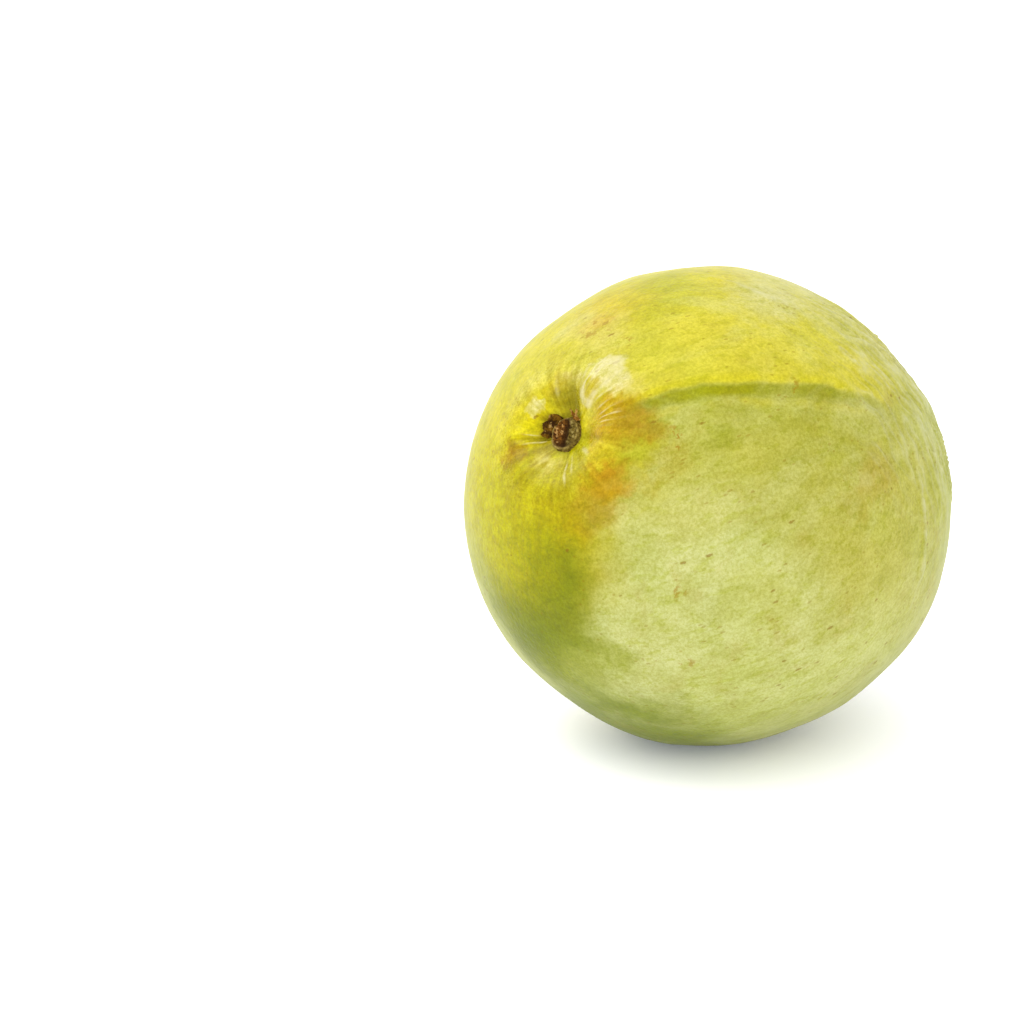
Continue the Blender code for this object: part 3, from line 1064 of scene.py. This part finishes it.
# %% [markdown]
# The stub has grey-tan bark outside, a pale rim where it was torn, and reddish and greyish wood on the two
# sides of the split. Several materials would meet in hard lines, so one material tells the parts apart by
# masks, in mm from the stub's foot and its split and in shares of its radius.

# %% The stub's parts, told apart by masks
wood_finish, shader, place = start_finish("broken_stalk", roughness=0.85, specular=0.05)
from_foot = (place - stub_frame.translation) * (1 / MM)
up_stub = from_foot.dot(axis)
off_middle = (from_foot - from_foot.maths("PROJECT", axis)).length() * (1 / STUB_RADIUS)
off_split = from_foot.dot(facing(90, SPLIT_TURN + 90)) + (grain(place, 1.0) - 0.5) * 0.9
on_face = off_middle.smooth(0.97, 0.9) * up_stub.smooth(-0.5, -0.2)
in_split = off_split.smooth(-0.75, -0.1) * off_split.smooth(0.9, 0.3)
past_split = off_split.smooth(-0.2, 0.9)
lower_edge = from_foot.dot(facing(90, SPLIT_TURN)).smooth(-1.0, -2.2)
torn_edge = off_middle.smooth(0.82, 0.92) * up_stub.smooth(0.1, 0.5)
count_nodes("stub's masks", wood_finish)

# %% The stub's colours
fibres = grain(place, 0.24, 4, 0.8).smooth(0.38, 0.62)
chips = grain(place, 0.4, 3, 0.6).smooth(0.55, 0.62)
frayed_bark = grain(place, 1.6, 3, 0.6).smooth(0.42, 0.58)
bark = fibres.ramp(paint(100, 76, 22), paint(170, 144, 66))
reddish = fibres.ramp(paint(62, 32, 0), paint(160, 104, 36))
greyish = fibres.ramp(paint(78, 60, 6), paint(150, 126, 50))
wood = past_split.mix(chips.mix(reddish, paint(230, 178, 104)), chips.mix(greyish, paint(186, 164, 90)))
wood = (in_split * (0.55 + fibres * 0.3)).mix(wood, paint(48, 30, 10))
wood = (lower_edge * 0.7).mix(wood, paint(64, 40, 0))
wood = on_face.mix(bark, wood)
wood = (torn_edge * (0.25 + frayed_bark * 0.75) * (0.4 + fibres * 0.6)).mix(wood, paint(196, 170, 92))
feed(shader, "Base Color", wood)
feed(shader, "Normal", raised(fibres, 0.08))
add_piece("broken_stub", stub_points, stub_faces, wood_finish, "stem_wood", ["stem_stub"])

# %% [markdown]
# ## Leaves of every kind
#
# Bracts and sepals are small dried leaves. A plane would vanish when seen from its edge, so each is one
# closed skin: a flat oval ring is carried along a bent spine and shrinks to a tip, and noise crumples it.
# Only lengths, widths and bends differ.

# %% A dried leaf
def dry_leaf(length, width, thickness, lean, curl, crumple, seed, hug=0.0, taper=0.72, rows=26, around=24):
    """A leaf in its own frame, +Z along its root and +Y outwards, from sizes in mm and bends in degrees."""
    points = []
    spine = Vector()
    for row in range(rows):
        share = row / (rows - 1)
        bend = radians(lean + curl * share)
        ahead = Vector((0, sin(bend), cos(bend)))
        out = Vector((0, cos(bend), -sin(bend)))
        ragged = 1 + 0.22 * noise.noise(Vector((share * 5, seed, 0)))
        half = width / 2 * (1 - taper * share**1.6) * ragged * min(1.0, (1.02 - share) * 5)
        for i in range(around):
            angle = 2 * pi * i / around
            x = -half * cos(angle)
            fold = noise.fractal(Vector((x * 0.8, share * 4 + seed, seed)), 1.0, 2.0, 3)
            wave = crumple * fold - x * x * hug
            layer = thickness / 2 * sin(angle)
            points.append(spine + Vector((x, 0, 0)) + out * (wave + layer))
        spine = spine + ahead * (length / (rows - 1))
    points += [points[0].lerp(points[around // 2], 0.5), spine]
    return points, closed_faces(rows, around)


def joined(shapes):
    """Several shapes as one list of points and one of faces."""
    points, faces = [], []
    for more_points, more_faces in shapes:
        faces += [tuple(i + len(points) for i in face) for face in more_faces]
        points += more_points
    return points, faces


def moved(shape, matrix):
    points, faces = shape
    return [matrix @ point for point in points], faces


print("a leaf has", len(dry_leaf(2, 2, 0.5, 0, 0, 0, 1)[1]), "faces")


# %% [markdown]
# The two bracts dried in place. The left one has shrivelled to a dark lump of broken flakes with light
# edges, and the upper one has split into two tan prongs. One bent leaf would look unbroken, so each bract
# is several small leaves on one foot.

# %% Shape the bracts
FLAKE_CRUMPLE = 0.24
LEFT_FLAKES = (
    # length, width and thickness in mm, lean and curl in degrees, place in mm, turn about the foot
    (2.2, 3.2, 1.3, 62, 20, (0.3, -0.9, -0.5), 0),
    (2.0, 2.2, 1.0, 60, 10, (1.7, -1.2, -0.5), -30),
    (1.9, 2.8, 0.45, 34, 40, (0.2, -0.4, -0.4), 0),
    (1.9, 2.4, 0.45, 50, 40, (1.3, -0.6, -0.4), -34),
    (1.7, 2.0, 0.45, 60, 20, (-0.6, -0.3, -0.3), 30),
    (1.4, 1.6, 0.45, 20, 40, (0.7, 0.0, 0.1), 20),
)
UPPER_PRONGS = (
    (2.3, 0.8, 0.45, 52, 8, (1.25, -1.4, -0.3), -28),
    (2.4, 0.8, 0.45, 50, 8, (1.7, -1.4, -0.3), 30),
    (1.2, 1.6, 0.45, 50, 8, (1.45, -1.3, -0.4), 4),
)


def flakes(rows, seed):
    shapes = []
    for i, (*leaf_sizes, at, about) in enumerate(rows):
        flake = dry_leaf(*leaf_sizes, FLAKE_CRUMPLE, seed + 3.7 * i)
        placed = Matrix.Translation(at) @ Matrix.Rotation(radians(about), 4, "Z")
        shapes.append(moved(flake, placed))
    return joined(shapes)


print("flakes:", len(LEFT_FLAKES), "left,", len(UPPER_PRONGS), "upper")


# %% The bracts' finishes
def bract_finish(name, dark, brown, tan, tan_from):
    """Dry bark-like skin, with light edges where the noise is above tan_from."""
    finish, shader, place = start_finish(name, roughness=0.85, specular=0.05)
    patches = grain(place, 0.7, 3, 0.65).smooth(0.4, 0.6)
    light = grain(place, 0.5, 2, 0.6).smooth(tan_from, tan_from + 0.12)
    colour = patches.ramp(paint(*dark), paint(*brown))
    feed(shader, "Base Color", (light * 0.85).mix(colour, paint(*tan)))
    feed(shader, "Normal", raised(patches, 0.1))
    return finish


dark_finish = bract_finish("dark_bract", (66, 40, 0), (124, 86, 12), (204, 164, 90), tan_from=0.56)
tan_finish = bract_finish("tan_bract", (124, 74, 10), (180, 126, 44), (228, 180, 100), tan_from=0.45)
BRACTS = (
    ("bract_left", LEFT_FLAKES, 2.0, dark_finish),
    ("bract_upper", UPPER_PRONGS, 8.0, tan_finish),
)
for name, rows, seed, finish in BRACTS:
    shape = moved(flakes(rows, seed), standing(name, axis))
    add_piece("dry_" + name, *shape, finish, "stem_wood", [name])

# %% [markdown]
# Five sepals stand on the calyx's lip. Copies of one would look stamped, so each has a row of its own:
# some stand straight, some curl out and one curls in over the bowl. Brown veins run along them, and their
# tips are almost black.

# %% The sepals' finish
sepal_finish, shader, place = start_finish("dry_sepal", roughness=0.75, specular=0.3)
reached = (place - centre).dot(-axis)
veins = grain(place, 0.7, 3, 0.6, Distortion=0.8).smooth(0.42, 0.58)
blotches = grain(place, 2.2).smooth(0.42, 0.62)
colour = veins.ramp(paint(84, 48, 24), paint(158, 104, 52))
colour = (blotches * 0.55).mix(colour, paint(190, 128, 52))
tip = reached.smooth(48 * MM, 52 * MM) * (0.35 + veins * 0.4)
feed(shader, "Base Color", tip.mix(colour, paint(48, 28, 18)))
feed(shader, "Normal", raised(veins, 0.16))
count_nodes("sepals' finish", sepal_finish)

# %% Shape the sepals
SEPALS = (
    # length and width in mm, lean and curl in degrees
    (7.6, 6.8, 4, 70),
    (6.4, 6.4, -10, 56),
    (7.8, 6.8, 14, 78),
    (6.8, 6.0, -16, -40),
    (6.2, 6.6, 4, 60),
)
SEPAL_THICKNESS = 0.55
SEPAL_CRUMPLE = 0.65
SEPAL_SUNK = (0, -0.5, -1.0)
LIP_RADIUS = 8
FINER = {"hug": 1 / (2 * LIP_RADIUS), "taper": 0.7, "rows": 40, "around": 36}

for i, (length, width, lean, curl) in enumerate(SEPALS):
    node = f"sepal_{i + 1}"
    shape = dry_leaf(length, width, SEPAL_THICKNESS, lean, curl, SEPAL_CRUMPLE, 20 + 7 * i, **FINER)
    sunk = standing(node, -axis) @ Matrix.Translation(SEPAL_SUNK)
    add_piece("curled_" + node, *moved(shape, sunk), sepal_finish, "dry_sepal", [node])

# %% [markdown]
# ## The withered stamens
#
# The dried stamens are a tan-pink tangle that bulges out of the calyx. Particles or hair would be quicker
# to set up, but an export drops them, so each filament is a thin tube on a path that curls at random, and
# it ends in a small anther. A fixed seed draws the same tangle each time.

# %% A tube along a path
def tube(path, radii, around):
    points = []
    across = None
    for i, here in enumerate(path):
        ahead = (path[min(i + 1, len(path) - 1)] - path[max(i - 1, 0)]).normalized()
        across = ahead.orthogonal() if across is None else across - ahead * across.dot(ahead)
        across.normalize()
        up = ahead.cross(across)
        for k in range(around):
            angle = 2 * pi * k / around
            points.append(here + (across * cos(angle) + up * sin(angle)) * radii[i])
    return points + [path[0], path[-1]], closed_faces(len(path), around)


calyx_frame = standing("style", -axis)
print("the calyx's floor in mm:", in_mm(calyx_frame.translation))


# %% Grow the stamens
STAMEN_COUNT = 190
STAMEN_STEPS = 18
STAMEN_RADIUS = 0.13
ANTHER = (1.7, 2.1, 1.1)
BOWL_REACH = 5.6


def stamen(draw):
    """One filament in the calyx's frame, where +Z goes out of the bowl."""
    out = draw.uniform(0.2, 1) ** 0.5 * BOWL_REACH
    about = draw.uniform(0, 2 * pi)
    length = draw.uniform(5.5, 10.5)
    here = Vector((out * sin(about), out * cos(about), -0.8 + 0.05 * out * out))
    splay = (sin(about) * draw.uniform(-0.3, 0.6), cos(about) * draw.uniform(-0.3, 0.6))
    going = Vector((*splay, 1)).normalized()
    curl_axis = Vector((draw.gauss(0, 1), draw.gauss(0, 1), draw.gauss(0, 0.5))).normalized()
    curl = draw.gauss(0, 0.11)
    path = []
    for step in range(STAMEN_STEPS):
        path.append(here)
        curl += draw.gauss(0, 0.035)
        going.rotate(Matrix.Rotation(curl, 3, curl_axis))
        centring = Vector((here.x, here.y, 0)) * (-0.012 * max(0.0, 6.5 - here.z))
        going = (going + centring + Vector((0, 0, 0.05 if here.z < 4 else -0.06))).normalized()
        here = here + going * (length / STAMEN_STEPS)
    radii = [STAMEN_RADIUS * (1.15 - 0.35 * step / STAMEN_STEPS) for step in range(STAMEN_STEPS)]
    radii[-len(ANTHER):] = [STAMEN_RADIUS * share for share in ANTHER]
    return tube(path, radii, around=6)


draw = random.Random(14)
tangle = moved(joined([stamen(draw) for _ in range(STAMEN_COUNT)]), calyx_frame)
print("stamens:", STAMEN_COUNT)

# %% The stamens' and the style's finish
stamen_finish, shader, place = start_finish("dry_stamens", roughness=0.8, specular=0.2)
strands = grain(place, 1.3, 3, 0.7).smooth(0.38, 0.62)
bits = grain(place, 0.5, 2).smooth(0.45, 0.6)
colour = strands.ramp(paint(136, 78, 44), paint(220, 164, 112))
feed(shader, "Base Color", (bits * 0.35).mix(colour, paint(84, 38, 24)))
add_piece("stamen_tangle", *tangle, stamen_finish, "stamens", ["stamen_ring"])

# %% [markdown]
# The style stands in the middle of the tangle, thicker than a filament, with a small knob at its end, the
# stigma. It could be turned like the stub, but the tube can follow its bend.

# %% Shape the style
STYLE_STEPS = 24
STYLE_LENGTH = 7.8
STIGMA = (0.45, 0.62, 0.66, 0.42)

shares = [step / STYLE_STEPS for step in range(STYLE_STEPS + 1)]
style_path = [Vector((0.9 * share**2, -0.5 * sin(3 * share), STYLE_LENGTH * share)) for share in shares]
style_radii = [0.55 - 0.22 * rise(share, 0, 0.7) for share in shares]
style_radii[-len(STIGMA):] = STIGMA
style = moved(tube(style_path, style_radii, around=14), calyx_frame)
add_piece("dry_style", *style, stamen_finish, "stamens", ["style"])

# %% [markdown]
# ## Measure the size
#
# A picture can't show half a millimetre, so the boxes of both models are measured and printed side by side.

# %% Measure and print both boxes
sizes = {
    "cad": [list(corner) for corner in cad_box],
    "visual": [list(corner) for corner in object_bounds()],
}
for name, (low, high) in sizes.items():
    print(name, "box in mm:", in_mm(Vector(high) - Vector(low)))
